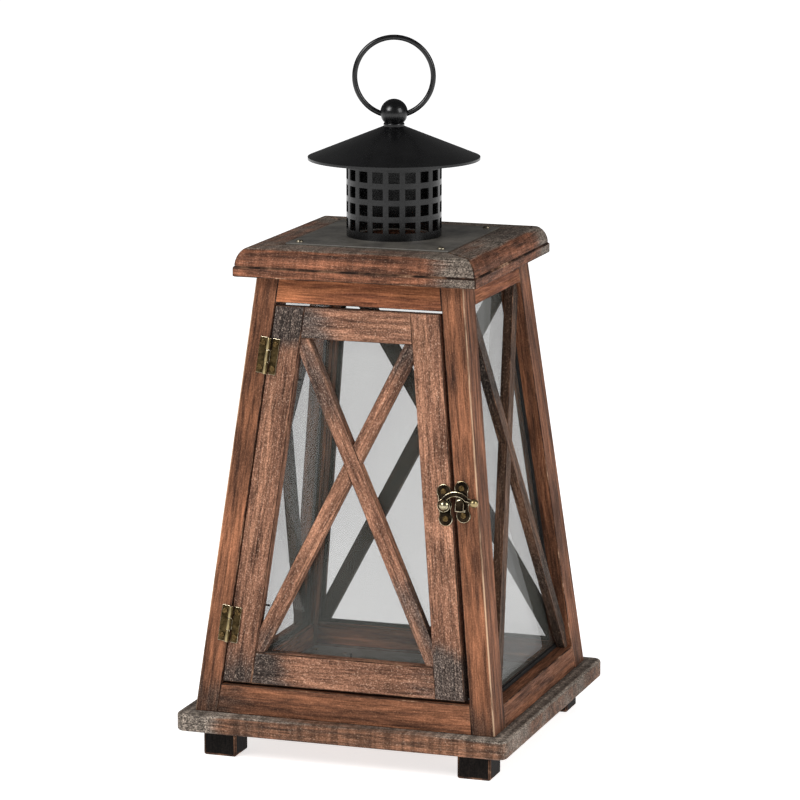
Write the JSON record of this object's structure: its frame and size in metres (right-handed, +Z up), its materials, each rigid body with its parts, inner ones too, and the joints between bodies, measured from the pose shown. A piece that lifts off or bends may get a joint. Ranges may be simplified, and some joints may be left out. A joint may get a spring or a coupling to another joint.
{
  "type": "hanging lantern",
  "caption": "Tapered wooden lantern with crossed-slat glazed sides, a hinged front door with a swing latch, a perforated metal vent, a conical roof and a ring handle.",
  "frame": {"origin": "centre of the base at the feet's undersides", "axes": "+Z up, the door faces -Y, the latch is on the +X side"},
  "size_m": [0.22, 0.22, 0.4544],
  "materials": {
    "foot_wood": "dark stain",
    "base_wood": "weathered",
    "cap_wood": "weathered",
    "case_wood": "brushed, stained",
    "door_wood": "brushed, whitewashed",
    "slat_wood": "brushed, stained",
    "black_metal": "satin black",
    "antique_brass": "antique",
    "dark_bronze": "dark antique",
    "zinc_sheet": "dull",
    "bright_screws": "satin",
    "glass": "clear"
  },
  "bodies": {
    "case": {"base_board": "base_wood", "bottom_rail_back": "case_wood", "bottom_rail_front": "case_wood", "bottom_rail_left": "case_wood", "bottom_rail_right": "case_wood", "cap_moulding_back": "cap_wood", "cap_moulding_front": "cap_wood", "cap_moulding_left": "cap_wood", "cap_moulding_right": "cap_wood", "floor_nails": "bright_screws", "floor_plate": "zinc_sheet", "foot_back_left": "foot_wood", "foot_back_right": "foot_wood", "foot_front_left": "foot_wood", "foot_front_right": "foot_wood", "glass_back": "glass", "glass_left": "glass", "glass_right": "glass", "glazing_beads": "black_metal", "hinge_lower_post_leaf": "antique_brass", "hinge_pins": "antique_brass", "hinge_upper_post_leaf": "antique_brass", "latch_keeper": "dark_bronze", "post_back_left": "case_wood", "post_back_right": "case_wood", "post_front_left": "case_wood", "post_front_right": "case_wood", "post_screws": "antique_brass", "roof_collar": "black_metal", "roof_cone": "black_metal", "slat_back_falling": "slat_wood", "slat_back_rising": "slat_wood", "slat_left_falling": "slat_wood", "slat_left_rising": "slat_wood", "slat_right_falling": "slat_wood", "slat_right_rising": "slat_wood", "top_plate": "black_metal", "top_plate_screws": "bright_screws", "top_rail_back": "case_wood", "top_rail_front": "case_wood", "top_rail_left": "case_wood", "top_rail_right": "case_wood", "vent_tube": "black_metal"},
    "door": {"door_glass": "glass", "door_glazing_pins": "black_metal", "door_rail_bottom": "door_wood", "door_rail_top": "door_wood", "door_screws": "antique_brass", "door_slat_falling": "door_wood", "door_slat_rising": "door_wood", "door_stile_hinge": "door_wood", "door_stile_latch": "door_wood", "hinge_lower_door_leaf": "antique_brass", "hinge_upper_door_leaf": "antique_brass", "latch_door_plate": "dark_bronze", "latch_rivet": "dark_bronze"},
    "latch_arm": {"latch_arm": "dark_bronze"},
    "finial": {"finial": "black_metal", "finial_nut": "black_metal"},
    "ring": {"ring_handle": "black_metal"}
  },
  "joints": [
    {"name": "door_hinge", "type": "hinge", "parent": "case", "child": "door", "pos_m": [-0.07797, -0.09536, 0.08716], "axis": [-0.1131, -0.1131, -0.9871], "range_deg": [0, 170]},
    {"name": "latch_pivot", "type": "hinge", "parent": "door", "child": "latch_arm", "pos_m": [0.06186, -0.08375, 0.17179], "axis": [0, -0.9935, 0.1138], "range_deg": [0, 170]},
    {"name": "finial_swivel", "type": "hinge", "parent": "case", "child": "finial", "pos_m": [0, 0, 0.4037], "axis": [0, 0, 1], "continuous": true},
    {"name": "ring_swing", "type": "hinge", "parent": "finial", "child": "ring", "pos_m": [0, 0, 0.4037], "axis": [0.9472, 0.3206, 0], "range_deg": [-112, 112]}
  ]
}
